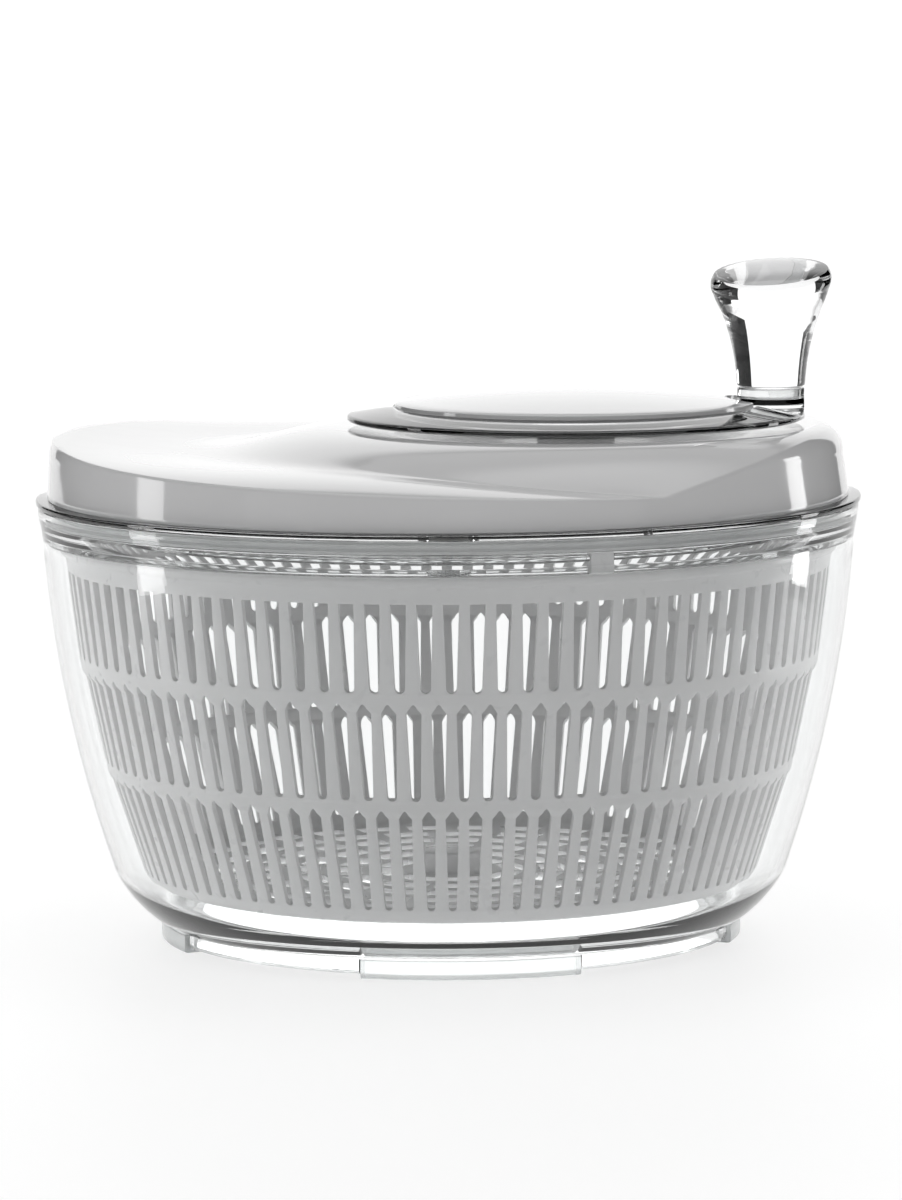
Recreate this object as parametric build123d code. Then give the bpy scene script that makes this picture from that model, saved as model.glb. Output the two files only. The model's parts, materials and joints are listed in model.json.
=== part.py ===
from build123d import *
from math import atan2, cos, pi, radians, sin, sqrt, tan
import os

# A crank salad spinner: clear bowl, slotted basket, and a white lid that carries an offset crank.
# The origin is the middle of the bowl's foot, +Z is up, and +X runs from the bowl axis to the crank axis.

# ---- driving dimensions, in millimetres ----

RIM_R = 140.0              # clear flange round the lid, the widest part of the object
FLANGE_LOW = 148.4         # underside of that flange
FLANGE_TOP = 150.3
RUNNING = 0.05             # radial clearance of a running fit
GAP = 0.3                  # clearance between parts that move past each other

FOOT_R = 99.0              # outer radius of the foot ring
FOOT_IN_R = 92.0
BOWL_BASE = 6.5            # underside of the bowl's floor
BOWL_FLOOR = 9.5           # top of the bowl's floor
PAD_COUNT = 4
PAD_ARC = 43.0             # degrees of the foot ring taken by each soft pad
PAD_START = -76.0          # direction of the first pad

BASKET_WALL = 1.8
BASKET_LOW = 19.2
BASKET_FLOOR = 21.2
BASKET_TOP = 136.2
SLOTS = 96                 # slots round each tier
SLOT_TURN = -0.95          # degrees from +X to the first slot
HUB_R = 10.5
HUB_TOP = 28.0
LUG_COUNT = 3
LUG_START = -58.0
LUG_WIDTH = 7.7

PIN_R = 3.0
CUP_R = 6.0

LID_R = 136.0              # white lid's skirt at its foot
LID_TOP_R = 135.2          # and at its crest
LID_WALL = 2.2
MOUND_TOP = 174.5          # flat seat under the crank disc
MOUND_SEAT_R = 79.0        # radius of that seat, about the crank axis
MOUND_FOOT_R = 110.0       # where the mound runs out, about the crank axis
SHOULDER_R = 9.0           # rounding of the lid's edge on the crank's side

MODULE = 2.0
RING_TEETH = 60
PINION_TEETH = 16
CRANK_X = MODULE * (RING_TEETH - PINION_TEETH) / 2     # 44: crank axis from the bowl axis

DISC_R = 77.3
CAP_R = 61.0
KNOB_ORBIT = 66.0          # knob axis from the crank axis
KNOB_ANGLE = 10.0          # direction of the knob at rest
STUB_R = 11.5
STUB_TOP = 186.5
KNOB_TOP = 230.0
KNOB_R = 20.4              # widest part of the knob
KNOB_WIDE_Z = 222.0

SHAFT_R = 4.0
AXLE_R = 8.0
SCREW_CIRCLE_R = 122.0
SCREW_ANGLES = (50.0, 130.0, 230.0, 310.0)

CRANK_AXIS = Pos(CRANK_X, 0, 0)
KNOB_X = CRANK_X + KNOB_ORBIT * cos(radians(KNOB_ANGLE))
KNOB_Y = KNOB_ORBIT * sin(radians(KNOB_ANGLE))
KNOB_AXIS = Pos(KNOB_X, KNOB_Y, 0)


# ---- helpers ----

def turned(*edges):
    """A solid of revolution about Z from a closed outline in the XZ plane."""
    return revolve(make_face(Plane.XZ * Wire(edges)), Axis.Z)


def lathe(points):
    """A solid of revolution about Z from straight (radius, height) segments."""
    return revolve(make_face(Plane.XZ * Polyline(*points, close=True)), Axis.Z)


def tube(outer_r, inner_r, low, high):
    """A plain tube on the Z axis."""
    ring = Circle(outer_r) - Circle(inner_r)
    return extrude(Pos(0, 0, low) * ring, high - low)


def rod(radius, low, high):
    """A plain round bar on the Z axis."""
    return extrude(Pos(0, 0, low) * Circle(radius), high - low)


def ring_sector(outer_r, inner_r, low, high, middle, width):
    """A block of a ring, width degrees wide, centred on the direction middle."""
    section = Plane.XZ * Pos((outer_r + inner_r) / 2, (low + high) / 2)
    block = revolve(section * Rectangle(outer_r - inner_r, high - low), Axis.Z, width)
    return Rot(0, 0, middle - width / 2) * block


def crown(edge_r, edge_z, top_z):
    """The arc of a shallow dome, from its edge up to its top on the axis."""
    sphere_r = (edge_r ** 2 + (top_z - edge_z) ** 2) / (2 * (top_z - edge_z))
    half_z = top_z - sphere_r + sqrt(sphere_r ** 2 - edge_r ** 2 / 4)
    return ThreePointArc((edge_r, edge_z), (edge_r / 2, half_z), (0, top_z))


def involute(angle):
    """The involute function."""
    return tan(angle) - angle


def gear_blank(teeth, root_r, tip_r, slack):
    """Flat involute gear outline; slack widens (or narrows) each tooth at the pitch circle."""
    pitch_r = MODULE * teeth / 2
    pressure = radians(20)
    base_r = pitch_r * cos(pressure)
    half_tooth = (pi * MODULE / 2 + slack) / (2 * pitch_r)
    radii = [root_r + (tip_r - root_r) * i / 4 for i in range(5)]
    points = []
    for tooth in range(teeth):
        middle = 2 * pi * tooth / teeth
        flank = []
        for r in radii:
            here = sqrt(max(r * r - base_r * base_r, 0)) / base_r
            half = half_tooth + involute(pressure) - (here - atan2(here, 1))
            flank.append((r, half))
        points += [(r * cos(middle - a), r * sin(middle - a)) for r, a in flank]
        points += [(r * cos(middle + a), r * sin(middle + a)) for r, a in reversed(flank)]
    return make_face(Polyline(*points, close=True))


# ---- bowl ----

def bowl():
    """Clear bowl: curved wall, flared rim, flat floor with the pin's boss, and the foot ring."""
    outline = [
        Line((0, BOWL_BASE), (FOOT_R, BOWL_BASE)),
        ThreePointArc((FOOT_R, BOWL_BASE), (108.2, 14.0), (114.6, 23.5)),
        ThreePointArc((114.6, 23.5), (127.6, 69.0), (137.3, 131.0)),
        Line((137.3, 131.0), (137.6, 135.5)),
        ThreePointArc((137.6, 135.5), (138.2, 140.0), (139.2, 144.5)),
        Line((139.2, 144.5), (139.2, FLANGE_LOW - GAP)),
        Line((139.2, FLANGE_LOW - GAP), (136.7, FLANGE_LOW - GAP)),
        Line((136.7, FLANGE_LOW - GAP), (136.7, 143.2)),
        Line((136.7, 143.2), (134.6, 138.0)),
        Line((134.6, 138.0), (135.4, 133.0)),
        ThreePointArc((135.4, 133.0), (125.3, 69.4), (112.2, 24.6)),
        ThreePointArc((112.2, 24.6), (105.4, 15.6), (94.0, BOWL_FLOOR)),
        Line((94.0, BOWL_FLOOR), (0, BOWL_FLOOR)),
        Line((0, BOWL_FLOOR), (0, BOWL_BASE)),
    ]
    body = turned(*outline) + rod(7.0, BOWL_FLOOR, 14.0) - rod(PIN_R, 7.5, 14.0)
    gap_arc = 360 / PAD_COUNT - PAD_ARC
    for i in range(PAD_COUNT):
        middle = PAD_START + (i + 0.5) * 360 / PAD_COUNT
        body += ring_sector(97.6, FOOT_IN_R + 1.2, 1.2, BOWL_BASE, middle, gap_arc - 1.2)
    return body


def foot_pads():
    """Four soft pads that fill the foot ring between its clear arcs."""
    pads = []
    for i in range(PAD_COUNT):
        middle = PAD_START + i * 360 / PAD_COUNT
        pads.append(ring_sector(FOOT_R, FOOT_IN_R, 0, BOWL_BASE, middle, PAD_ARC))
    return Compound(children=pads)


def pivot_pin():
    """Pin that stands in the bowl's boss and carries the basket."""
    return chamfer(rod(PIN_R, 7.5, 24.0).edges().group_by(Axis.Z)[-1], 0.6)


def pivot_cup():
    """Thimble that slips over the pin; the basket's hub turns on it."""
    cup = rod(CUP_R, 16.0, 26.2) + rod(9.0, 14.0 + GAP, 16.0)
    return cup - rod(PIN_R + RUNNING, 14.0, 24.0 + GAP)


# ---- basket ----

TIERS = (
    # slot bottom, slot top, slot width, radius at mid height, stagger in slot pitches
    (98.1, 127.2, 4.5, 127.6, 0.0),
    (62.1, 93.0, 4.2, 120.4, 0.5),
    (24.6, 57.0, 3.7, 110.4, 0.0),
)


def basket_shell():
    """Three stepped conical tiers, a rim bead, the floor and the hub, before any slot is cut."""
    outer = [
        (99.0, BASKET_LOW), (103.0, 21.0), (105.2, 24.4), (108.6, 30.0), (115.1, 54.4), (116.8, 57.4),
        (123.8, 91.4), (125.4, 93.6), (129.6, 127.2), (129.9, 132.4), (131.2, 132.9), (131.2, BASKET_TOP),
    ]
    inner = [(r - BASKET_WALL, z + 0.3) for r, z in outer[4:9]]
    profile = outer + [(127.9, BASKET_TOP)] + inner[::-1]
    profile += [(106.6, 30.2), (103.4, 25.0), (98.6, BASKET_FLOOR), (HUB_R, BASKET_FLOOR)]
    profile += [(HUB_R, HUB_TOP - 1), (HUB_R - 1, HUB_TOP), (0, HUB_TOP), (0, 26.2 + GAP)]
    profile += [(CUP_R + RUNNING, 26.2 + GAP), (CUP_R + RUNNING, 16.0 + GAP)]
    profile += [(HUB_R, 16.0 + GAP), (HUB_R, BASKET_LOW)]
    return lathe(profile)


def floor_tools():
    """Cutters for the rings of short slots in the basket's floor."""
    tools = []
    for row in range(6):
        middle_r = 21.0 + 14.0 * row
        count = 8 + 5 * row
        width = 360 / count - 3.4 / middle_r * 180 / pi
        for i in range(count):
            tools.append(ring_sector(middle_r + 3.6, middle_r - 3.6, 18, 23, 360 * i / count, width))
    return tools


def basket():
    """White basket with slots in the wall and floor, and three lugs on the rim."""
    tools = floor_tools()
    for low, high, width, radius, stagger in TIERS:
        arc = width / radius * 180 / pi
        for i in range(SLOTS):
            middle = SLOT_TURN + 360 * (i + stagger) / SLOTS
            tools.append(ring_sector(radius + 9, radius - 9, low, high, middle, arc))
    body = basket_shell() - tools
    for i in range(LUG_COUNT):
        lug = Pos(129.0, 0, (133.5 + 143.0) / 2) * Box(3.6, LUG_WIDTH, 9.5)
        body += Rot(0, 0, LUG_START + 120 * i) * lug
    return body


# ---- lid ----

def plate_prism(drop):
    """Everything below the lid's plate, which is tilted and curls up at the end away from the crank."""
    low = 120
    edges = [
        Spline((-150, 176.5 - drop), (-136, 172.0 - drop), (-118, 168.9 - drop), (-96, 166.7 - drop),
               (-60, 164.5 - drop), (150, 157.4 - drop)),
        Line((150, 157.4 - drop), (150, low)),
        Line((150, low), (-150, low)),
        Line((-150, low), (-150, 176.5 - drop)),
    ]
    face = make_face(Plane.XZ * Wire(edges))
    return extrude(face, 150, both=True)


def mound(drop):
    """Everything inside the crank's mound, a dome of revolution about the crank axis."""
    high = MOUND_TOP - drop
    outline = [
        Line((0, high), (MOUND_SEAT_R, high)),
        ThreePointArc((MOUND_SEAT_R, high), (97.0, high - 4.6), (MOUND_FOOT_R - drop, 161.5 - drop)),
        Line((MOUND_FOOT_R - drop, 161.5 - drop), (MOUND_FOOT_R + 6 - drop, 150 - drop)),
        Line((MOUND_FOOT_R + 6 - drop, 150 - drop), (0, 150 - drop)),
        Line((0, 150 - drop), (0, high)),
    ]
    return CRANK_AXIS * turned(*outline)


def lid_drum(inset, rounded):
    """The lid's skirt as a full drum; rounded gives the top edge that trims the mound."""
    edge_r = LID_TOP_R - inset
    corner = SHOULDER_R - inset / 2
    top = MOUND_TOP - inset
    outline = [
        Line((0, 140), (LID_R - inset, 140)),
        Line((LID_R - inset, 140), (edge_r, top - corner)),
    ]
    if rounded:
        outline.append(RadiusArc((edge_r, top - corner), (edge_r - corner, top), -corner))
        outline.append(Line((edge_r - corner, top), (0, top)))
    else:
        top = 190
        outline.append(Line((edge_r, MOUND_TOP - inset - corner), (edge_r, top)))
        outline.append(Line((edge_r, top), (0, top)))
    outline.append(Line((0, top), (0, 140)))
    return turned(*outline)


def lid_block(inset):
    """The lid's form as one solid block, shrunk by inset."""
    plate = plate_prism(inset) & lid_drum(inset, False)
    return plate + (mound(inset) & lid_drum(inset, True))


def lid_shell():
    """White lid: a skirt that curls up at one end and swells into the crank's mound."""
    hollow = lid_block(LID_WALL) - CRANK_AXIS * rod(14.0, 162.0, 190)
    for angle in SCREW_ANGLES:
        hollow -= Rot(0, 0, angle) * Pos(SCREW_CIRCLE_R, 0, 0) * rod(4.5, 130, 190)
    body = lid_block(0) - rod(150, 130, FLANGE_TOP) - hollow
    body -= CRANK_AXIS * rod(10.5, 160, 190)
    for angle in SCREW_ANGLES:
        body -= Rot(0, 0, angle) * Pos(SCREW_CIRCLE_R, 0, 0) * rod(1.5, 149, 158)
    return body


def lid_base():
    """Clear plate that closes the lid from below, with its wide flange and plug ring."""
    plate = rod(RIM_R, FLANGE_LOW, FLANGE_TOP) + tube(133.5, 131.3, 143.6, FLANGE_LOW)
    plate += rod(11.0, 143.6, 151.2)
    plate -= rod(7.0, 140, 155)
    for angle in SCREW_ANGLES:
        plate -= Rot(0, 0, angle) * Pos(SCREW_CIRCLE_R, 0, 0) * rod(1.8, 140, 155)
    return plate


def lid_seal():
    """Silicone ring round the plug, inside the bowl's rim, with two soft lips."""
    ring = tube(135.2, 133.5, 144.0, 147.6)
    for low in (144.4, 146.2):
        ring += lathe([(135.2, low), (136.4, low + 0.5), (135.2, low + 1.0)])
    return ring


def lid_screws():
    """Self-tapping screws that hold the clear base to the lid."""
    screws = []
    for angle in SCREW_ANGLES:
        screw = rod(3.4, 146.4, FLANGE_LOW) + rod(1.5, FLANGE_LOW, 157.8)
        screw -= Pos(0, 0, 146.8) * Box(4.6, 0.8, 1.0) + Pos(0, 0, 146.8) * Box(0.8, 4.6, 1.0)
        screws.append(Rot(0, 0, angle) * Pos(SCREW_CIRCLE_R, 0, 0) * screw)
    return Compound(children=screws)


def crank_bush():
    """Flanged bearing bush in the lid's boss."""
    bush = rod(10.5, 162.0, MOUND_TOP) + rod(13.0, MOUND_TOP, 175.4)
    return CRANK_AXIS * (bush - rod(AXLE_R + RUNNING, 160, 180))


def pinion_bush():
    """Flanged bearing bush in the middle of the lid's base."""
    bush = rod(7.0, 143.6, 151.2) + rod(8.6, 142.6, 143.6)
    return bush - rod(SHAFT_R + RUNNING, 140, 155)


# ---- crank ----

def crank_disc():
    """Clear dished crank disc with its hub and the foot of the knob."""
    outline = [
        (11.0, 175.7), (13.5, 175.7), (13.5, 177.6), (58.0, 177.6), (76.6, 176.2), (DISC_R, 176.9),
        (DISC_R, 177.7), (76.9, 178.2), (CAP_R + 0.5, 180.9), (CAP_R + 0.5, 179.6), (11.0, 179.6),
    ]
    body = CRANK_AXIS * lathe(outline)
    foot = [
        Line((0, 177.9), (15.0, 177.9)),
        ThreePointArc((15.0, 177.9), (12.2, 180.0), (STUB_R, 184.5)),
        Line((STUB_R, 184.5), (STUB_R - 0.6, STUB_TOP)),
        Line((STUB_R - 0.6, STUB_TOP), (0, STUB_TOP)),
        Line((0, STUB_TOP), (0, 177.9)),
    ]
    stub = KNOB_AXIS * turned(*foot)
    return body + (stub & CRANK_AXIS * rod(DISC_R, 170, 190)) - KNOB_AXIS * rod(5.0, 179.5, 190)


def crank_cap():
    """White domed cap in the middle of the crank disc, cut away round the knob's foot."""
    dome = [
        Line((0, 183.8), (0, 185.8)),
        crown(CAP_R - 0.6, 182.0, 185.8),
        Line((CAP_R - 0.6, 182.0), (CAP_R, 181.4)),
        Line((CAP_R, 181.4), (CAP_R, 179.6)),
        Line((CAP_R, 179.6), (CAP_R - 1.8, 179.6)),
        Line((CAP_R - 1.8, 179.6), (CAP_R - 2.2, 180.2)),
        crown(CAP_R - 2.2, 180.2, 183.8),
    ]
    return CRANK_AXIS * turned(*dome) - KNOB_AXIS * rod(15.6, 170, 190)


def crank_axle():
    """Axle that turns in the lid's bush and joins the crank disc to the ring gear."""
    axle = rod(AXLE_R, 156.5, 175.7) + rod(11.0, 175.7, 182.2)
    return CRANK_AXIS * (axle - rod(2.0, 150, 170))


def ring_gear():
    """Internal gear: a web with sixty inward teeth that wrap round the pinion."""
    pitch_r = MODULE * RING_TEETH / 2
    teeth = gear_blank(RING_TEETH, pitch_r - 1.8, pitch_r + 2.4, 0.15)
    rim = rod(pitch_r + 6, 151.4, 161.5) - extrude(Pos(0, 0, 151.4) * teeth, 7.2)
    hub = rod(14.0, 156.5, 158.6)
    return CRANK_AXIS * (rim + hub - rod(AXLE_R, 150, 165))


def axle_washer():
    """Washer under the ring gear's hub."""
    return CRANK_AXIS * tube(10.5, 2.2, 155.3, 156.5)


def axle_screw():
    """Screw that clamps the ring gear to the axle."""
    screw = rod(4.6, 152.4, 155.3) + rod(2.0, 155.3, 169.5)
    slots = Pos(0, 0, 152.9) * Box(6.4, 1.0, 1.2) + Pos(0, 0, 152.9) * Box(1.0, 6.4, 1.2)
    return CRANK_AXIS * (screw - slots)


def knob_spindle():
    """Clear spindle fixed in the knob's foot, on which the knob turns."""
    spindle = rod(5.0, 179.5, 212.0)
    return KNOB_AXIS * chamfer(spindle.edges().group_by(Axis.Z)[-1], 1.0)


def knob():
    """Clear knob: a waisted grip that flares to a rounded, domed head."""
    low = STUB_TOP + GAP
    outline = [
        Line((0, low), (STUB_R - 0.6, low)),
        Line((STUB_R - 0.6, low), (STUB_R, low + 0.8)),
        ThreePointArc((STUB_R, low + 0.8), (13.6, 206.0), (18.6, 218.6)),
        ThreePointArc((18.6, 218.6), (KNOB_R, KNOB_WIDE_Z), (19.0, 226.0)),
        crown(19.0, 226.0, KNOB_TOP),
        Line((0, KNOB_TOP), (0, low)),
    ]
    return KNOB_AXIS * (turned(*outline) - rod(5.0 + RUNNING, 180, 212.0 + GAP))


# ---- drive ----

def pinion():
    """Sixteen-tooth pinion on the bowl axis, in mesh with the ring gear."""
    pitch_r = MODULE * PINION_TEETH / 2
    teeth = extrude(Pos(0, 0, 152.0) * gear_blank(PINION_TEETH, pitch_r - 2.3, pitch_r + 1.8, -0.15), 6.0)
    return teeth - rod(SHAFT_R, 150, 160)


def drive_shaft():
    """Steel shaft from the pinion down to the drive plate."""
    shaft = rod(SHAFT_R, 119.6, 158.0) - tube(SHAFT_R + 1, SHAFT_R - 0.8, 120.6, 121.6)
    return shaft


def drive_plate():
    """Clear plate over the basket: a bell-mouthed hub, ribs, and notches for the basket's lugs."""
    hub = [
        Line((SHAFT_R, 141.4), (9.0, 141.4)),
        Line((9.0, 141.4), (7.4, 138.0)),
        Line((7.4, 138.0), (7.4, 126.5)),
        ThreePointArc((7.4, 126.5), (9.6, 123.8), (14.0, 122.6)),
        Line((14.0, 122.6), (14.0, 121.6)),
        Line((14.0, 121.6), (SHAFT_R, 121.6)),
        Line((SHAFT_R, 121.6), (SHAFT_R, 141.4)),
    ]
    body = tube(130.4, 6.0, 139.4, 141.2) + turned(*hub)
    body += tube(124.0, 121.8, 137.6, 139.4)
    for i in range(6):
        body += Rot(0, 0, 60 * i + 2) * Pos(65.0, 0, 138.6) * Box(115.0, 1.6, 1.6)
    for i in range(LUG_COUNT):
        notch = Pos(129.0, 0, 140.0) * Box(5.0, LUG_WIDTH + 0.8, 8.0)
        body -= Rot(0, 0, LUG_START + 120 * i) * notch
    return body


def shaft_clip():
    """Snap ring in the shaft's groove, under the drive plate."""
    ring = tube(6.2, SHAFT_R - 0.8, 120.6, 121.6)
    return ring - Pos(5, 0, 121.1) * Box(8, 3.0, 2)


NODES = {
    "bowl": bowl,
    "foot_pads": foot_pads,
    "pivot_pin": pivot_pin,
    "pivot_cup": pivot_cup,
    "basket": basket,
    "lid_shell": lid_shell,
    "lid_base": lid_base,
    "lid_seal": lid_seal,
    "lid_screws": lid_screws,
    "crank_bush": crank_bush,
    "pinion_bush": pinion_bush,
    "crank_disc": crank_disc,
    "crank_cap": crank_cap,
    "crank_axle": crank_axle,
    "ring_gear": ring_gear,
    "axle_washer": axle_washer,
    "axle_screw": axle_screw,
    "knob_spindle": knob_spindle,
    "knob": knob,
    "pinion": pinion,
    "drive_shaft": drive_shaft,
    "drive_plate": drive_plate,
    "shaft_clip": shaft_clip,
}

os.makedirs("parts", exist_ok=True)
for name, make in NODES.items():
    export_step(make(), f"parts/{name}.step")
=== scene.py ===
import json
import math

import bmesh
import bpy
from mathutils import Matrix, Vector


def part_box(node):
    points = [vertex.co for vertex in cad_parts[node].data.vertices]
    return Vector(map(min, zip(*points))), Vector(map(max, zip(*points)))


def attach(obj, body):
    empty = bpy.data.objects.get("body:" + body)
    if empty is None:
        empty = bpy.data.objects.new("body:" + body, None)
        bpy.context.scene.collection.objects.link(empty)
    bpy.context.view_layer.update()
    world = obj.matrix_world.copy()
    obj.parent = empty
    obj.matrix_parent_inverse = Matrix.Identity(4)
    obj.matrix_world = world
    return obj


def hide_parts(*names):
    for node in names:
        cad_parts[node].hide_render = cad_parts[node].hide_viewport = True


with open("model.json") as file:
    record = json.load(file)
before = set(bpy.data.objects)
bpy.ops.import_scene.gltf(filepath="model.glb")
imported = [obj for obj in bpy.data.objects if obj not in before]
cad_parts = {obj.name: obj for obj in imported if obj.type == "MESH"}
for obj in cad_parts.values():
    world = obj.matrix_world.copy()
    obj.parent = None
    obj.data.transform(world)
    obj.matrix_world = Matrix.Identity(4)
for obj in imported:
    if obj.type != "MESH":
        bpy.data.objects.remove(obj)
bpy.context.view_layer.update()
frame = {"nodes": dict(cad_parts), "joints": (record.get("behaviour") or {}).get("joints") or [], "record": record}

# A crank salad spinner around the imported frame. Profiles are (radius, height) in millimetres.

MM = 0.001
TAU = 2 * math.pi
NODES = frame["nodes"]

# ---- places that come from the frame ----

CRANK_X = [j for j in frame["joints"] if j["name"] == "crank_spin"][0]["pos_m"][0] / MM
KNOB_POS = [j for j in frame["joints"] if j["name"] == "knob_spin"][0]["pos_m"]
KNOB_X = KNOB_POS[0] / MM
KNOB_Y = KNOB_POS[1] / MM
KNOB_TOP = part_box("knob")[1].z / MM
RIM_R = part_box("lid_base")[1].x / MM
BASKET_TOP = 136.2


# ---- mesh helpers ----

def finish_mesh(name, bm, sharp=35.0):
    """Turns a bmesh in millimetres into a smooth-shaded object in metres."""
    bmesh.ops.remove_doubles(bm, verts=bm.verts, dist=0.002)
    bmesh.ops.dissolve_degenerate(bm, edges=bm.edges, dist=0.0005)
    bmesh.ops.recalc_face_normals(bm, faces=bm.faces)
    bmesh.ops.scale(bm, vec=(MM, MM, MM), verts=bm.verts)
    mesh = bpy.data.meshes.new(name)
    bm.to_mesh(mesh)
    bm.free()
    mesh.shade_smooth()
    mesh.set_sharp_from_angle(angle=math.radians(sharp))
    piece = bpy.data.objects.new(name, mesh)
    bpy.context.scene.collection.objects.link(piece)
    return piece


def add_lathe(bm, profile, segments, centre=(0.0, 0.0), closed=True):
    """Adds a surface of revolution; points on the axis close it with triangles."""
    rings = []
    for r, z in profile:
        if r < 1e-6:
            rings.append([bm.verts.new((centre[0], centre[1], z))])
            continue
        ring = []
        for k in range(segments):
            a = TAU * k / segments
            ring.append(bm.verts.new((centre[0] + r * math.cos(a), centre[1] + r * math.sin(a), z)))
        rings.append(ring)
    pairs = list(zip(rings, rings[1:]))
    if closed:
        pairs.append((rings[-1], rings[0]))
    for low, high in pairs:
        for k in range(segments):
            n = (k + 1) % segments
            corners = [low[k % len(low)], low[n % len(low)], high[n % len(high)], high[k % len(high)]]
            unique = list(dict.fromkeys(corners))
            if len(unique) > 2:
                bm.faces.new(unique)


def rounded(points, steps=5):
    """Rounds the corners of a closed outline; each point is (r, z) or (r, z, corner radius)."""
    out = []
    count = len(points)
    for i, point in enumerate(points):
        here = Vector(point[:2])
        radius = point[2] if len(point) > 2 else 0.0
        if radius <= 0:
            out.append(tuple(here))
            continue
        before = Vector(points[i - 1][:2]) - here
        after = Vector(points[(i + 1) % count][:2]) - here
        angle = before.angle(after)
        reach = min(radius / math.tan(angle / 2), 0.49 * before.length, 0.49 * after.length)
        start = here + before.normalized() * reach
        end = here + after.normalized() * reach
        for k in range(steps + 1):
            t = k / steps
            spot = start.lerp(here, t).lerp(here.lerp(end, t), t)
            out.append((spot.x, spot.y))
    return out


def arc(start, middle, end, steps=16):
    """Points along the circle through three points, without the last one."""
    ax, ay = start
    bx, by = middle
    cx, cy = end
    d = 2 * (ax * (by - cy) + bx * (cy - ay) + cx * (ay - by))
    ux = ((ax**2 + ay**2) * (by - cy) + (bx**2 + by**2) * (cy - ay) + (cx**2 + cy**2) * (ay - by)) / d
    uy = ((ax**2 + ay**2) * (cx - bx) + (bx**2 + by**2) * (ax - cx) + (cx**2 + cy**2) * (bx - ax)) / d
    r = math.hypot(ax - ux, ay - uy)
    a0 = math.atan2(ay - uy, ax - ux)
    a1 = math.atan2(cy - uy, cx - ux)
    am = math.atan2(by - uy, bx - ux)
    turn = (a1 - a0) % TAU
    if (am - a0) % TAU > turn:
        turn -= TAU
    angles = [a0 + turn * k / steps for k in range(steps)]
    return [(ux + r * math.cos(a), uy + r * math.sin(a)) for a in angles]


# ---- materials ----

def new_material(name):
    """A fresh material with its node tree and its shader."""
    material = bpy.data.materials.new(name)
    material.use_nodes = True
    tree = material.node_tree
    shader = tree.nodes["Principled BSDF"]
    return material, tree, shader


def noise(tree, scale, detail=3.0, stretch=(1, 1, 1)):
    """A noise texture over the object's own coordinates."""
    place = tree.nodes.new("ShaderNodeTexCoord")
    mapping = tree.nodes.new("ShaderNodeMapping")
    mapping.inputs["Scale"].default_value = stretch
    texture = tree.nodes.new("ShaderNodeTexNoise")
    texture.inputs["Scale"].default_value = scale
    texture.inputs["Detail"].default_value = detail
    tree.links.new(place.outputs["Object"], mapping.inputs["Vector"])
    tree.links.new(mapping.outputs["Vector"], texture.inputs["Vector"])
    return texture.outputs["Fac"]


def ramp(tree, value, low, high):
    """Maps a 0..1 value to a range of greys or colours."""
    node = tree.nodes.new("ShaderNodeValToRGB")
    node.color_ramp.elements[0].position = 0.3
    node.color_ramp.elements[1].position = 0.7
    node.color_ramp.elements[0].color = low
    node.color_ramp.elements[1].color = high
    tree.links.new(value, node.inputs["Fac"])
    return node.outputs["Color"]


def grey(v):
    """An opaque grey of this level."""
    return (v, v, v, 1.0)


def bump(tree, shader, height, strength, distance):
    """Feeds a height value to a shader as a shallow relief."""
    node = tree.nodes.new("ShaderNodeBump")
    node.inputs["Strength"].default_value = strength
    node.inputs["Distance"].default_value = distance
    tree.links.new(height, node.inputs["Height"])
    tree.links.new(node.outputs["Normal"], shader.inputs["Normal"])


def plastic(name, low, high, rough_low, rough_high, scale, bump_strength, coat=0.0, stretch=(1, 1, 1)):
    """Opaque moulded plastic: faint mottling, uneven gloss and a very shallow moulding ripple."""
    material, tree, shader = new_material(name)
    tree.links.new(ramp(tree, noise(tree, scale * 0.25), low, high), shader.inputs["Base Color"])
    tree.links.new(ramp(tree, noise(tree, scale, 4.0, stretch), grey(rough_low), grey(rough_high)),
                   shader.inputs["Roughness"])
    shader.inputs["IOR"].default_value = 1.5
    shader.inputs["Coat Weight"].default_value = coat
    shader.inputs["Coat Roughness"].default_value = 0.03
    bump(tree, shader, noise(tree, scale * 0.6, 2.0, stretch), bump_strength, 0.0004)
    return material


def clear_plastic(name, tint_low, tint_high, rough_high, ior):
    """Polished clear plastic with faint flow marks and hairline wear."""
    material, tree, shader = new_material(name)
    tree.links.new(ramp(tree, noise(tree, 9.0), tint_low, tint_high), shader.inputs["Base Color"])
    tree.links.new(ramp(tree, noise(tree, 160.0, 5.0, (1, 1, 0.2)), grey(0.0), grey(rough_high)),
                   shader.inputs["Roughness"])
    shader.inputs["Transmission Weight"].default_value = 1.0
    shader.inputs["IOR"].default_value = ior
    bump(tree, shader, noise(tree, 22.0, 1.0, (1, 1, 0.35)), 0.05, 0.0004)
    return material


def steel(name):
    """Bright steel with faint mottling and fine turned marks."""
    material, tree, shader = new_material(name)
    tree.links.new(ramp(tree, noise(tree, 40.0), (0.50, 0.50, 0.51, 1), (0.62, 0.62, 0.63, 1)),
                   shader.inputs["Base Color"])
    tree.links.new(ramp(tree, noise(tree, 900.0, 4.0, (1, 1, 0.05)), grey(0.18), grey(0.34)),
                   shader.inputs["Roughness"])
    shader.inputs["Metallic"].default_value = 1.0
    bump(tree, shader, noise(tree, 1200.0, 2.0, (1, 1, 0.05)), 0.08, 0.0001)
    return material


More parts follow.
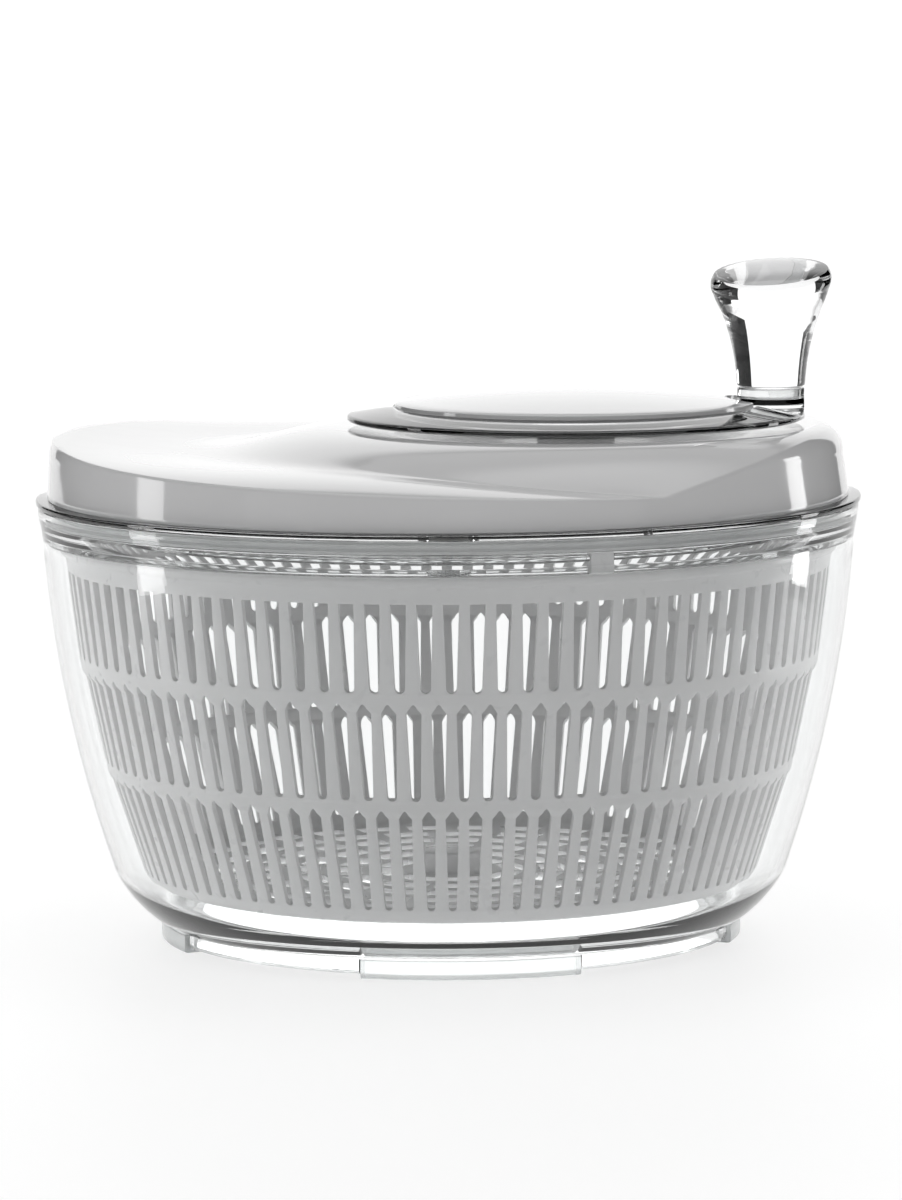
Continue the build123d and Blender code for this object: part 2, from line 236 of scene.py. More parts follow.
WHITE_GLOSS = plastic("white_gloss", (0.69, 0.69, 0.695, 1), (0.72, 0.72, 0.725, 1), 0.07, 0.11, 60.0, 0.02,
                      coat=0.4)
WHITE_BASKET = plastic("white_basket", (0.80, 0.80, 0.805, 1), (0.84, 0.84, 0.84, 1), 0.26, 0.36, 180.0, 0.10)
GEAR_PLASTIC = plastic("gear_plastic", (0.66, 0.66, 0.64, 1), (0.72, 0.72, 0.70, 1), 0.30, 0.42, 220.0, 0.10)
PAD = plastic("pad", (0.80, 0.82, 0.82, 1), (0.86, 0.88, 0.88, 1), 0.12, 0.22, 90.0, 0.03)
SEAL = plastic("seal", (0.66, 0.67, 0.67, 1), (0.72, 0.73, 0.73, 1), 0.30, 0.45, 240.0, 0.12)
CLEAR = clear_plastic("clear", (0.965, 0.975, 0.975, 1), (0.985, 0.99, 0.99, 1), 0.02, 1.50)
CLEAR_KNOB = clear_plastic("clear_knob", (0.97, 0.975, 0.98, 1), (0.99, 0.99, 0.99, 1), 0.015, 1.49)
STEEL = steel("steel")
SLOT_MATERIALS = {
    "clear": CLEAR, "clear_knob": CLEAR_KNOB, "white_gloss": WHITE_GLOSS, "white_basket": WHITE_BASKET,
    "gear_plastic": GEAR_PLASTIC, "pad": PAD, "seal": SEAL, "steel": STEEL,
}
PAD.node_tree.nodes["Principled BSDF"].inputs["Transmission Weight"].default_value = 0.75

LIGHT_PASSES = ("clear", "clear_knob", "pad")   # slots whose pieces cast no shadow


def dress(piece, slot_name, body, *nodes):
    """Gives a piece the material of its slot and its body, and hides the CAD nodes that it stands for; pieces of a
    slot in LIGHT_PASSES cast no shadow.
    """
    piece.data.materials.clear()
    piece.data.materials.append(SLOT_MATERIALS[slot_name])
    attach(piece, body)
    if nodes:
        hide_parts(*nodes)
    piece.visible_shadow = slot_name not in LIGHT_PASSES
    return piece


# ---- bowl ----

PADS = 4
PAD_ARC = 43.0
PAD_START = -76.0
PAD_GAP = 0.6               # degrees between a pad and the clear arc next to it


def make_bowl():
    """Clear bowl: floor, curved wall, flared rounded rim and the boss for the pin, as one closed outline."""
    outer = [(0, 6.5), (93, 6.5), (99.0, 6.5)]
    outer += arc((100.5, 7.2), (108.2, 14.0), (114.6, 23.5), 10)
    outer += arc((114.6, 23.5), (127.6, 69.0), (137.3, 131.0), 40)
    outer += [(137.3, 131.0), (137.45, 133.5)]
    outer += arc((137.6, 135.5), (138.2, 140.0), (139.2, 144.5), 8)
    outer += rounded([(139.2, 145.2, 0.4), (139.2, 148.1, 0.5), (136.7, 148.1, 0.5), (136.7, 143.4, 0.8),
                      (134.7, 139.0, 1.5), (134.9, 135.6, 1.0)], 4)
    outer += arc((135.35, 133.0), (125.3, 69.4), (112.2, 24.6), 40)
    outer += arc((112.2, 24.6), (105.4, 15.6), (94.0, 9.6), 12)
    outer += [(93.0, 9.5), (60, 9.5), (30, 9.5)]
    outer += rounded([(7.8, 9.5, 0.6), (7.0, 14.0, 0.5), (3.0, 14.0, 0.2), (3.0, 7.6, 0)], 3)
    outer += [(0, 7.5)]
    bm = bmesh.new()
    add_lathe(bm, outer, 256)
    return dress(finish_mesh("bowl_shell", bm), "clear", "bowl", "bowl")


def add_sector(bm, profile, start, end, steps):
    """Adds a closed block swept round part of a circle."""
    rings = []
    for k in range(steps + 1):
        a = math.radians(start + (end - start) * k / steps)
        rings.append([bm.verts.new((r * math.cos(a), r * math.sin(a), z)) for r, z in profile])
    count = len(profile)
    for one, two in zip(rings, rings[1:]):
        for i in range(count):
            j = (i + 1) % count
            bm.faces.new((one[i], one[j], two[j], two[i]))
    bm.faces.new(rings[0])
    bm.faces.new(rings[-1][::-1])


def make_foot():
    """Four soft pads flush with the foot ring, and the bowl's recessed clear arcs between them."""
    pad_outline = rounded([(92.0, 0.0, 0.5), (99.0, 0.0, 1.0), (99.0, 6.4, 0.6), (92.0, 6.4, 0.3)], 3)
    arc_outline = rounded([(93.2, 1.2, 0.8), (97.6, 1.2, 2.0), (97.6, 6.5, 0.8), (93.2, 6.5, 0.2)], 4)
    pads = bmesh.new()
    arcs = bmesh.new()
    step = 360 / PADS
    for i in range(PADS):
        middle = PAD_START + i * step
        add_sector(pads, pad_outline, middle - PAD_ARC / 2, middle + PAD_ARC / 2, 40)
        low = middle + PAD_ARC / 2 + PAD_GAP
        add_sector(arcs, arc_outline, low, middle + step - PAD_ARC / 2 - PAD_GAP, 44)
    dress(finish_mesh("foot_pad_set", pads), "pad", "bowl", "foot_pads")
    dress(finish_mesh("foot_ring_arcs", arcs), "clear", "bowl")


# ---- basket ----

CELLS = 96
SLOT_TURN = -0.95           # degrees
THICK = 1.8
FLOOR_SLOT_PITCH = 14.0
FLOOR_SLOT_FIRST = 21.0     # middle radius of the innermost ring of floor slots
FLOOR_SLOT_HALF = 4.3
LUG_START = -58.0           # degrees
LUG_WIDTH = 7.7
LUG_PLAY = 0.8
LUG_RADIUS = 129


def slot_rows(low, high, bottom, tip, width_low, width_high, shift):
    """Rows (r, z, half width, hole above, shift) of one tier's slots, from its low to its high (r, z) end."""
    def radius(z):
        return low[0] + (high[0] - low[0]) * (z - low[1]) / (high[1] - low[1])
    rows = []
    half = width_low / 2
    for k in range(5):
        a = math.pi / 2 * k / 4
        z = bottom + half * (1 - math.cos(a))
        rows.append((radius(z), z, half * math.sin(a), True, shift))
    for k in range(1, 5):
        t = k / 4
        z = bottom + half + (tip - bottom - half) * t
        rows.append((radius(z), z, half + (width_high / 2 - half) * t, True, shift))
    return rows


def plain_rows(points, shift):
    """Rows without a hole above them."""
    return [(r, z, None, False, shift) for r, z in points]


def tip_rows(points, shift):
    """The narrowing tip of a slot, from (r, z, half width) points; the last one closes it."""
    rows = [(r, z, half, True, shift) for r, z, half in points]
    r, z, half, _, _ = rows[-1]
    rows[-1] = (r, z, half, False, shift)
    return rows


def basket_rows():
    """All rows of the basket's outer skin, from the hub's foot out along the floor and up to the rim."""
    rows = []
    for k in range(6):
        middle = FLOOR_SLOT_FIRST + FLOOR_SLOT_PITCH * k
        rows.append((middle - FLOOR_SLOT_HALF, 19.2, None, ("floor", k), 0))
        rows.append((middle + FLOOR_SLOT_HALF, 19.2, None, False, 0))
    rows += plain_rows([(99.0, 19.2), (101.6, 19.9), (103.4, 21.4), (104.6, 23.2), (104.9, 23.8)], 0)
    rows += slot_rows((105.2, 24.2), (115.1, 54.6), 24.4, 55.8, 2.5, 4.4, 0)
    rows += tip_rows([(115.6, 56.4, 1.9), (116.5, 57.3, 1.25), (116.9, 58.2, 0.75), (117.05, 58.9, 0.0)], 0)
    rows += plain_rows([(117.1, 59.6)], 0)
    rows += plain_rows([(117.25, 60.6), (117.4, 61.6)], 2)
    rows += slot_rows((116.8, 57.4), (123.8, 91.2), 62.1, 91.2, 3.2, 5.0, 2)
    rows += tip_rows([(124.2, 91.8, 2.2), (125.1, 92.9, 1.35), (125.4, 93.9, 0.8), (125.5, 94.6, 0.0)], 2)
    rows += plain_rows([(125.6, 95.4)], 2)
    rows += plain_rows([(125.8, 96.4), (125.95, 97.6)], 0)
    rows += slot_rows((125.4, 93.4), (129.6, 127.2), 98.1, 127.2, 3.4, 5.2, 0)
    rows[-1] = (129.6, 127.2, 2.6, False, 0)
    rows += plain_rows([(129.7, 128.2), (129.9, 132.0), (130.2, 132.5), (130.9, 132.8),
                        (131.2, 133.4), (131.2, 135.4), (130.8, BASKET_TOP), (129.4, BASKET_TOP)], 0)
    return rows


def keeps_spoke(row, cell):
    """True where a floor row has a spoke in this cell."""
    every = (12, 8, 6, 4, 4, 3)[row]
    return cell % every == 0


def make_basket():
    """White basket: one skin with every slot cut out, thickened, with its hub, lugs and beaded rim."""
    rows = basket_rows()
    bm = bmesh.new()
    grid = []
    pitch = TAU / CELLS
    turn = math.radians(SLOT_TURN)
    count = 4 * CELLS
    for r, z, half, _, shift in rows:
        ring = []
        share = 0.25 * pitch if half is None else half / r
        for c in range(CELLS):
            middle = turn + pitch * (c + shift / 4)
            for a in (middle - pitch / 2, middle - share, middle, middle + share):
                ring.append(bm.verts.new((r * math.cos(a), r * math.sin(a), z)))
        grid.append(ring)
    for i in range(len(rows) - 1):
        hole = rows[i][3]
        step = rows[i][4] - rows[i + 1][4]
        for k in range(count):
            cell, part = divmod(k, 4)
            if hole is True and part in (1, 2):
                continue
            if isinstance(hole, tuple) and not keeps_spoke(hole[1], cell):
                continue
            n = (k + 1) % count
            low = grid[i]
            high = grid[i + 1]
            bm.faces.new((low[k], low[n], high[(n + step) % count], high[(k + step) % count]))
    skin = finish_mesh("basket_skin", bm, 50)
    if skin.data.polygons[0].normal.z > 0:
        skin.data.flip_normals()
    solid = skin.modifiers.new("thickness", "SOLIDIFY")
    solid.thickness = THICK * MM
    solid.offset = -1
    solid.use_even_offset = False
    edge = skin.modifiers.new("soft_edges", "BEVEL")
    edge.width = 0.3 * MM
    edge.segments = 2
    edge.limit_method = "ANGLE"
    edge.angle_limit = math.radians(50)
    hub = bmesh.new()
    hub_outline = rounded([(17.6, 19.25, 0.2), (17.6, 21.0, 0.3), (10.5, 21.0, 1.2), (10.2, 27.9, 1.2),
                           (0, 28.0, 0), (0, 26.5, 0), (6.1, 26.5, 0.2), (6.1, 16.3, 0), (10.5, 16.3, 0.4),
                           (10.5, 19.25, 0.2)], 4)
    add_lathe(hub, hub_outline, 64)
    hub_piece = finish_mesh("basket_hub", hub)
    lug = bmesh.new()
    for i in range(3):
        middle = LUG_START + 120 * i
        half = math.degrees(LUG_WIDTH / 2 / LUG_RADIUS)
        outline = rounded([(127.2, 134.0, 0), (130.8, 134.0, 0), (130.8, 143.0, 0.6), (127.2, 143.0, 0.6)], 3)
        add_sector(lug, outline, middle - half, middle + half, 6)
    lug_piece = finish_mesh("basket_lugs", lug)
    dress(skin, "white_basket", "basket", "basket")
    dress(hub_piece, "white_basket", "basket")
    dress(lug_piece, "white_basket", "basket")


# ---- lid ----

LID_R = 136.0
LID_TOP_R = 135.2
SEAT_Z = 174.5
SEAT_R = 79.0
FOOT_R = 110.0
SHOULDER = 8.6
MOUND_ROUNDING = 1.75
SKIRT_LOW = 150.3
LID_WALL = 2.2
LID_COLUMNS = 288
SCREW_ANGLES = (50, 130, 230, 310)
SCREW_R = 122


def plate_height(x, y):
    """The lid's plate: gently tilted, curling up at one end, with its front and back strips rising inwards."""
    r = math.hypot(x, y)
    strip = max(0.0, abs(y) / r) ** 3 if r > 1 else 0.0
    inward = 1 - math.exp(-max(0.0, 135 - r) / 13)
    return 162.4 - 0.0335 * x + 5.05 * (max(0.0, -x) / 136) ** 4.7 + 3.6 * strip * inward


def mound_foot(angle):
    """How far the mound reaches from the crank axis in this direction."""
    back = max(0.0, -math.cos(angle))
    return FOOT_R + 10.0 * back ** 5


def crest_radius(x, y):
    """Radius of the lid's crest about the bowl axis in this direction; it draws in on the crank's side."""
    r = math.hypot(x, y)
    return LID_TOP_R - 1.25 * max(0.0, x / r) ** 1.5 if r > 1 else LID_TOP_R


def soft_min(a, b, blend):
    """The smaller of two values, eased over the given difference."""
    if blend <= 0:
        return min(a, b)
    near = max(0.0, 1 - abs(a - b) / blend)
    return min(a, b) - near * near * blend / 4


def lid_top(r_crank, angle):
    """Height of the lid's top at this distance and direction from the crank axis."""
    x = CRANK_X + r_crank * math.cos(angle)
    y = r_crank * math.sin(angle)
    r = math.hypot(x, y)
    crest = crest_radius(x, y)
    plate = plate_height(x, y)
    seat = SEAT_R + 6.0 * max(0.0, math.cos(angle)) ** 2
    along = max(0.0, r_crank - seat) / (mound_foot(angle) - seat)
    rise = (SEAT_Z - plate) * (1 - along ** MOUND_ROUNDING)
    soft = 0.2 + 2.2 * max(0.0, -math.cos(angle)) ** 2
    if rise < 12 * soft:
        rise = soft * math.log(1 + math.exp(rise / soft))
    out = min(SHOULDER, max(0.0, r - (crest - SHOULDER)))
    limit = SEAT_Z - SHOULDER + math.sqrt(SHOULDER ** 2 - out ** 2)
    height = soft_min(plate + rise, limit, 1.2 * min(1.0, out / 3))
    edge = 1.0
    inside = min(edge, max(0.0, r - (crest - edge)))
    return height - (edge - math.sqrt(max(0.0, edge * edge - inside * inside)))


def rim_reach(angle):
    """Distance from the crank axis to the lid's crest in this direction."""
    along = CRANK_X * math.cos(angle)
    radius = LID_TOP_R
    for _ in range(4):
        reach = -along + math.sqrt(along * along + radius ** 2 - CRANK_X ** 2)
        radius = crest_radius(CRANK_X + reach * math.cos(angle), reach * math.sin(angle))
    return reach


def make_lid():
    """White lid: seat, mound, plate, crest and skirt as one skin round the crank axis, then thickened."""
    bm = bmesh.new()
    rows = []
    seat = [10.6, 30.0, 55.0, 76.0]
    for k in range(LID_COLUMNS):
        angle = TAU * k / LID_COLUMNS
        reach = rim_reach(angle)
        foot = min(mound_foot(angle), reach)
        near = reach - 1.2
        radii = list(seat)
        radii += [SEAT_R + (min(foot, near) - SEAT_R) * math.sin(math.pi / 2 * i / 26) for i in range(27)]
        start = radii[-1]
        radii += [start + (near - start) * i / 22 for i in range(1, 23)]
        radii += [reach - 1.2 * (1 - math.sin(math.pi / 2 * i / 7)) for i in range(1, 8)]
        column = []
        for r in radii:
            column.append((CRANK_X + r * math.cos(angle), r * math.sin(angle), lid_top(r, angle)))
        top = column[-1]
        scale = math.hypot(top[0], top[1])
        for t in (0.12, 0.3, 0.5, 0.7, 0.86, 0.965, 1.0):
            wide = scale + (LID_R - scale) * t
            tuck = 0.0 if t < 1 else 0.35
            z = top[2] + (SKIRT_LOW - top[2]) * t
            column.append((top[0] / scale * (wide - tuck), top[1] / scale * (wide - tuck), z))
        rows.append([bm.verts.new(p) for p in column])
    for k in range(LID_COLUMNS):
        one = rows[k]
        two = rows[(k + 1) % LID_COLUMNS]
        for i in range(len(one) - 1):
            bm.faces.new((one[i], one[i + 1], two[i + 1], two[i]))
    skin = finish_mesh("lid_skin", bm, 40)
    solid = skin.modifiers.new("thickness", "SOLIDIFY")
    solid.thickness = LID_WALL * MM
    solid.offset = -1
    dress(skin, "white_gloss", "lid", "lid_shell")
    bosses = bmesh.new()
    crank_boss = rounded([(14.0, 162.0, 0.5), (14.0, 173.0, 0), (10.55, 173.0, 0), (10.55, 162.0, 0.3)], 3)
    add_lathe(bosses, crank_boss, 64, (CRANK_X, 0))
    for angle in SCREW_ANGLES:
        spot = (SCREW_R * math.cos(math.radians(angle)), SCREW_R * math.sin(math.radians(angle)))
        height = plate_height(spot[0], spot[1]) - 2.5
        screw_boss = rounded([(4.5, 150.4, 0.4), (4.5, height, 0), (1.6, height, 0), (1.6, 150.4, 0.2)], 3)
        add_lathe(bosses, screw_boss, 32, spot)
    dress(finish_mesh("lid_bosses", bosses), "white_gloss", "lid")


def make_lid_base():
    """Clear plate under the lid, its flange and plug ring."""
    flange = RIM_R - 0.05
    outline = rounded([(7.05, 143.6, 0), (11.0, 143.6, 0.5), (11.0, 148.4, 1.0), (131.3, 148.4, 0.6),
                       (131.3, 143.6, 0.4), (133.5, 143.6, 0.4), (133.5, 148.4, 0.4), (flange, 148.4, 0.55),
                       (flange, 150.28, 0.7), (11.0, 150.28, 0.3), (11.0, 151.2, 0.3), (7.05, 151.2, 0.0)], 4)
    bm = bmesh.new()
    add_lathe(bm, outline, 256)
    dress(finish_mesh("lid_base_plate", bm), "clear", "lid", "lid_base")
    seal = bmesh.new()
    ring = rounded([(133.55, 144.0, 0.2), (135.2, 144.0, 0.3), (135.2, 144.4, 0.1), (136.35, 144.9, 0.15),
                    (135.2, 145.4, 0.1), (135.2, 146.2, 0.1), (136.35, 146.7, 0.15), (135.2, 147.2, 0.1),
                    (135.2, 147.6, 0.3), (133.55, 147.6, 0.2)], 3)
    add_lathe(seal, ring, 192)
    dress(finish_mesh("seal_ring", seal), "seal", "lid", "lid_seal")


# ---- crank ----

FOOT_LIMIT = 77.1           # the knob's foot is flush with the disc's edge
CAP_NOTCH_R = 15.6          # round notch in the cap, clear of the knob's foot
CAP_NOTCH_Z = (170, 190)


def make_crank():
    """Clear dished disc in one with the knob's foot, and its white cap notched round that foot."""
    disc = bmesh.new()
    outline = rounded([(11.05, 175.7, 0), (13.5, 175.7, 0.4), (13.5, 177.6, 0.6), (58.0, 177.6, 3.0),
                       (76.4, 176.2, 0.6), (77.3, 176.6, 0.4), (77.3, 177.9, 0.5), (76.4, 178.35, 0.4),
                       (61.6, 180.9, 0.3), (61.5, 179.7, 0.2), (11.05, 179.6, 0)], 4)
    add_lathe(disc, outline, 224, (CRANK_X, 0))
    disc_piece = finish_mesh("crank_dish", disc)
    stub = bmesh.new()
    foot = [(0, 178.4), (14.6, 178.4), (14.9, 178.9)] + arc((14.4, 179.3), (12.3, 181.0), (11.5, 184.6), 10)
    foot += [(11.5, 185.8), (11.3, 186.3), (10.8, 186.5), (0, 186.5)]
    add_lathe(stub, foot, 96, (KNOB_X, KNOB_Y))
    for v in stub.verts:
        reach = math.hypot(v.co.x - CRANK_X, v.co.y)
        if reach > FOOT_LIMIT:
            v.co.x = CRANK_X + (v.co.x - CRANK_X) * FOOT_LIMIT / reach
            v.co.y = v.co.y * FOOT_LIMIT / reach
    join_solids(disc_piece, finish_mesh("knob_foot", stub), "UNION")
    dress(disc_piece, "clear", "crank", "crank_disc")
    cap = bmesh.new()
    dome = dome_points(60.4, 182.2, 185.8, 14)
    inner = dome_points(58.6, 180.5, 184.0, 8)[::-1]
    outline = dome + [(60.9, 181.9), (61.0, 181.3), (61.0, 179.8), (59.2, 179.8)] + inner
    add_lathe(cap, outline, 224, (CRANK_X, 0))
    cap_piece = finish_mesh("cap_dome", cap)
    cutter_mesh = bmesh.new()
    low, high = CAP_NOTCH_Z
    notch = [(0, low), (CAP_NOTCH_R, low), (CAP_NOTCH_R, high), (0, high)]
    add_lathe(cutter_mesh, notch, 96, (KNOB_X, KNOB_Y))
    join_solids(cap_piece, finish_mesh("cutter", cutter_mesh), "DIFFERENCE")
    dress(cap_piece, "white_gloss", "crank", "crank_cap")


def join_solids(piece, tool, operation):
    """Merges or cuts a piece with a tool, which is used up."""
    cut = piece.modifiers.new("solids", "BOOLEAN")
    cut.operation = operation
    cut.object = tool
    cut.solver = "EXACT"
    apply_modifiers(piece)
    bpy.data.objects.remove(tool)
    piece.data.set_sharp_from_angle(angle=math.radians(35))


def apply_modifiers(piece):
    """Replaces a piece's mesh with its evaluated mesh."""
    bpy.context.view_layer.update()
    graph = bpy.context.evaluated_depsgraph_get()
    mesh = bpy.data.meshes.new_from_object(piece.evaluated_get(graph))
    piece.modifiers.clear()
    piece.data = mesh


def dome_points(edge_r, edge_z, top_z, steps):
    """A shallow dome from its top on the axis out to its edge."""
    sphere = (edge_r ** 2 + (top_z - edge_z) ** 2) / (2 * (top_z - edge_z))
    return [(edge_r * k / steps, top_z - sphere + math.sqrt(sphere ** 2 - (edge_r * k / steps) ** 2))
            for k in range(steps + 1)]


KNOB_SLANT = 10.6           # degrees
KNOB_LEAN_TO = -100.0       # direction of the lower side, degrees from +X
KNOB_CROWN = 226.9
KNOB_SLANT_LOW = 208.0      # the slant grows from here
KNOB_SLANT_RISE = 14.0      # and is full after this much height


def make_knob():
    """Clear flared knob with a slanted, softly domed top, and the spindle seen in the gap under it."""
    low = 186.8
    outline = [(0, low), (10.8, low), (11.35, low + 0.35), (11.55, low + 0.9)]
    outline += arc((11.6, low + 1.2), (13.1, 199.5), (17.7, 214.2), 24)
    outline += [(17.7, 214.2), (18.5, 216.0), (19.3, 218.0)]
    outline += arc((19.9, 219.8), (20.42, 222.6), (19.5, 225.2), 12)
    outline += dome_points(19.3, 225.4, KNOB_CROWN, 12)[::-1]
    bm = bmesh.new()
    add_lathe(bm, outline, 128, (KNOB_X, KNOB_Y))
    lean = math.radians(KNOB_LEAN_TO)
    for v in bm.verts:
        grow = min(1.0, max(0.0, (v.co.z - KNOB_SLANT_LOW) / KNOB_SLANT_RISE))
        along = (v.co.x - KNOB_X) * math.cos(lean) + (v.co.y - KNOB_Y) * math.sin(lean)
        v.co.z -= along * math.tan(math.radians(KNOB_SLANT)) * grow * grow * (3 - 2 * grow)
        v.co.z = min(v.co.z, KNOB_TOP)
    dress(finish_mesh("knob_grip", bm), "clear_knob", "knob", "knob")
    spindle = bmesh.new()
    add_lathe(spindle, [(0, 186.52), (5.0, 186.52), (5.0, 186.78), (0, 186.78)], 48, (KNOB_X, KNOB_Y))
    dress(finish_mesh("spindle_neck", spindle), "clear_knob", "crank", "knob_spindle")


# ---- drive ----

def make_drive_plate():
    """Clear drive plate with its bell-mouthed hub, ribs and lug notches."""
    outline = [(4.02, 121.6), (13.7, 121.6), (14.0, 121.9), (14.0, 122.4)]
    outline += arc((13.6, 122.7), (9.6, 123.9), (7.4, 127.0), 8)
    outline += [(7.4, 138.0), (8.8, 139.4)]
    outline += rounded([(121.8, 139.4, 0), (121.8, 137.6, 0.3), (124.0, 137.6, 0.3), (124.0, 139.4, 0),
                        (126.2, 139.4, 0.2), (126.2, 141.2, 0.2)], 3)
    outline += [(9.4, 141.2), (8.8, 141.4), (4.02, 141.4)]
    bm = bmesh.new()
    add_lathe(bm, outline, 192)
    rim = rounded([(126.2, 139.4, 0.1), (130.4, 139.4, 0.5), (130.4, 141.2, 0.5), (126.2, 141.2, 0.1)], 3)
    half = math.degrees((LUG_WIDTH + LUG_PLAY) / 2 / LUG_RADIUS)
    for i in range(3):
        start = LUG_START + 120 * i + half
        add_sector(bm, rim, start, start + 120 - 2 * half, 48)
    dress(finish_mesh("drive_disc", bm), "clear", "drive", "drive_plate")


# ---- stage, light and camera ----

FLOOR_RINGS = (0, 40, 80, 120, 160, 220, 300, 400, 550, 800, 1200, 2000, 4000, 9000)


def make_stage():
    """A wide, softly glowing white floor that the object stands on."""
    bm = bmesh.new()
    add_lathe(bm, [(r, 0) for r in FLOOR_RINGS], 32, closed=False)
    floor = finish_mesh("floor", bm)
    floor.location.z = -0.0002
    material, tree, shader = new_material("floor")
    tree.links.new(ramp(tree, noise(tree, 3.0), grey(0.40), grey(0.42)), shader.inputs["Base Color"])
    shader.inputs["Roughness"].default_value = 0.55
    shader.inputs["Specular IOR Level"].default_value = 0.2
    shader.inputs["Emission Color"].default_value = (1, 1, 1, 1)
    shader.inputs["Emission Strength"].default_value = FLOOR_GLOW
    floor.data.materials.append(material)


VIEW_AZIMUTH = 10.0        # degrees from -Y towards +X
VIEW_ELEVATION = 6.52
VIEW_DISTANCE = 2.0428
VIEW_HEIGHT = 0.1138
VIEW_ROLL = 0.40
VIEW_LENS = 180.0
VIEW_SHIFT = 2.13 / 1200

BACKDROP_EDGE = (0.30, 0.70)    # the ramps run between these parts of a unit direction
BACKDROP_TOP = (0.45, 0.62)
CEILING_EDGE = (0.78, 0.92)
BACKDROP_LEVEL = 1.2
CEILING_LEVEL = 1.3
FLANK_LEVEL = 0.30
FLOOR_GLOW = 0.70
UNDER_R = 88                # the floor's bounce up through the clear bowl, kept inside the foot ring
UNDER_POWER = 0.085
CARD_X = 700               # millimetres from the middle to each black card
CARD_NEAR = -500
CARD_FAR = 1150
CARD_LOW = 90
CARD_TOP = 700


def direction(azimuth, elevation):
    """Unit vector towards a place seen from the object; azimuth 0 is the camera's side."""
    a = math.radians(VIEW_AZIMUTH + azimuth)
    e = math.radians(elevation)
    return Vector((math.sin(a) * math.cos(e), -math.cos(a) * math.cos(e), math.sin(e)))


def make_camera():
    """A long-lens camera aimed at the middle of the object."""
    data = bpy.data.cameras.new("camera")
    camera = bpy.data.objects.new("camera", data)
    bpy.context.scene.collection.objects.link(camera)
    data.sensor_width = 36.0
    data.lens = VIEW_LENS
    data.shift_x = VIEW_SHIFT
    data.clip_end = 50
    target = Vector((0, 0, VIEW_HEIGHT))
    turn = Matrix.Rotation(math.radians(VIEW_AZIMUTH), 4, "Z")
    tilt = Matrix.Rotation(math.radians(90 - VIEW_ELEVATION), 4, "X")
    roll = Matrix.Rotation(math.radians(-VIEW_ROLL), 4, "Z")
    place = Matrix.Translation(target + direction(0, VIEW_ELEVATION) * VIEW_DISTANCE)
    camera.matrix_world = place @ turn @ tilt @ roll
    bpy.context.scene.camera = camera


def add_light(name, azimuth, elevation, distance, width, height, power):
    """A rectangular area light facing the object; sizes and distance are in metres."""
    data = bpy.data.lights.new(name, "AREA")
    data.shape = "RECTANGLE"
    data.size = width
    data.size_y = height
    data.energy = power
    light = bpy.data.objects.new(name, data)
    bpy.context.scene.collection.objects.link(light)
    aim = direction(azimuth, elevation)
    light.location = aim * distance + Vector((0, 0, 0.1))
    light.rotation_euler = aim.to_track_quat("Z", "Y").to_euler()
    return light


def world_ramp(tree, value, start, end, low, high):
    """A smooth step of the world's brightness along one direction."""
    node = tree.nodes.new("ShaderNodeMapRange")
    node.interpolation_type = "SMOOTHSTEP"
    node.inputs["From Min"].default_value = start
    node.inputs["From Max"].default_value = end
    node.inputs["To Min"].default_value = low
    node.inputs["To Max"].default_value = high
    tree.links.new(value, node.inputs["Value"])
    return node.outputs["Result"]


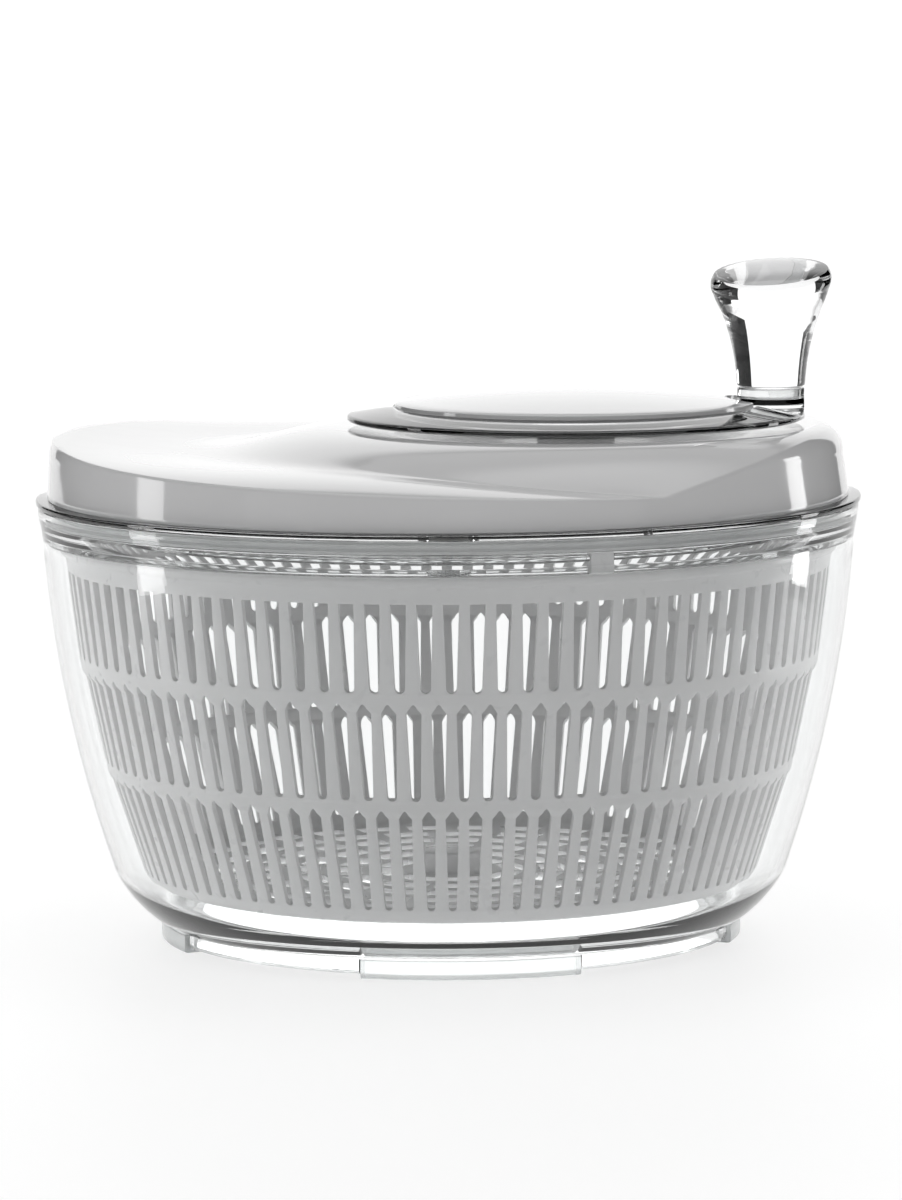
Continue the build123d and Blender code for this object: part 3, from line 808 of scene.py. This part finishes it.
def make_world():
    """A studio with a bright backdrop and ceiling, and dark flanks that draw the edges of clear plastic."""
    world = bpy.data.worlds.new("studio")
    bpy.context.scene.world = world
    world.use_nodes = True
    tree = world.node_tree
    background = tree.nodes["Background"]
    place = tree.nodes.new("ShaderNodeTexCoord")
    mapping = tree.nodes.new("ShaderNodeMapping")
    mapping.inputs["Rotation"].default_value = (0, 0, math.radians(-VIEW_AZIMUTH))
    split = tree.nodes.new("ShaderNodeSeparateXYZ")
    tree.links.new(place.outputs["Generated"], mapping.inputs["Vector"])
    tree.links.new(mapping.outputs["Vector"], split.inputs["Vector"])
    back = world_ramp(tree, split.outputs["Y"], *BACKDROP_EDGE, 0.0, BACKDROP_LEVEL)
    under = world_ramp(tree, split.outputs["Z"], *BACKDROP_TOP, 1.0, 0.0)
    ceiling = world_ramp(tree, split.outputs["Z"], *CEILING_EDGE, FLANK_LEVEL, CEILING_LEVEL)
    backdrop = tree.nodes.new("ShaderNodeMath")
    backdrop.operation = "MULTIPLY"
    tree.links.new(back, backdrop.inputs[0])
    tree.links.new(under, backdrop.inputs[1])
    brighter = tree.nodes.new("ShaderNodeMath")
    brighter.operation = "MAXIMUM"
    tree.links.new(backdrop.outputs["Value"], brighter.inputs[0])
    tree.links.new(ceiling, brighter.inputs[1])
    path = tree.nodes.new("ShaderNodeLightPath")
    seen = tree.nodes.new("ShaderNodeMath")
    seen.operation = "MAXIMUM"
    tree.links.new(brighter.outputs["Value"], seen.inputs[0])
    tree.links.new(path.outputs["Is Camera Ray"], seen.inputs[1])
    tree.links.new(seen.outputs["Value"], background.inputs["Strength"])
    background.inputs["Color"].default_value = (1, 1, 1, 1)


def make_cards():
    """Black cards beside the object, kept out of the camera's sight, that draw the edges of clear plastic."""
    material, tree, shader = new_material("card")
    tree.links.new(ramp(tree, noise(tree, 2.0), grey(0.01), grey(0.02)), shader.inputs["Base Color"])
    shader.inputs["Roughness"].default_value = 0.9
    shader.inputs["Specular IOR Level"].default_value = 0.0
    for side in (-1, 1):
        bm = bmesh.new()
        corners = [(side * CARD_X, CARD_NEAR, CARD_LOW), (side * CARD_X, CARD_FAR, CARD_LOW),
                   (side * CARD_X, CARD_FAR, CARD_TOP), (side * CARD_X, CARD_NEAR, CARD_TOP)]
        bm.faces.new([bm.verts.new(c) for c in corners])
        card = finish_mesh("card_left" if side < 0 else "card_right", bm)
        card.rotation_euler = (0, 0, math.radians(VIEW_AZIMUTH))
        card.data.materials.append(material)
        card.visible_camera = False


def make_lights():
    """A wide light above, two strips beside the object, and the floor's bounce up into the bowl."""
    add_light("top", 160, 62, 1.6, 1.6, 1.2, 2)
    add_light("left", -84, 3, 0.62, 0.11, 0.30, 0.40)
    add_light("right", 108, 3, 0.62, 0.09, 0.24, 0.30)
    under = add_light("under", 0, 90, 0, 2 * UNDER_R * MM, 2 * UNDER_R * MM, UNDER_POWER)
    under.data.shape = "DISK"
    under.location = (0, 0, 0.8 * MM)
    under.rotation_euler = (math.pi, 0, 0)
    under.visible_camera = False
    under.visible_glossy = False


def dress_cad_nodes():
    """The CAD nodes that stay get the procedural material of their slot."""
    slots = {s["node"]: s["material_slot"] for s in frame["record"]["subparts"]}
    for name, node in NODES.items():
        node.data.materials.clear()
        node.data.materials.append(SLOT_MATERIALS[slots[name]])


dress_cad_nodes()
make_bowl()
make_foot()
make_basket()
make_lid()
make_lid_base()
make_crank()
make_knob()
make_drive_plate()
make_stage()
make_camera()
make_world()
make_cards()
make_lights()

scene = bpy.context.scene
scene.view_settings.view_transform = "Standard"
scene.view_settings.exposure = 0.0
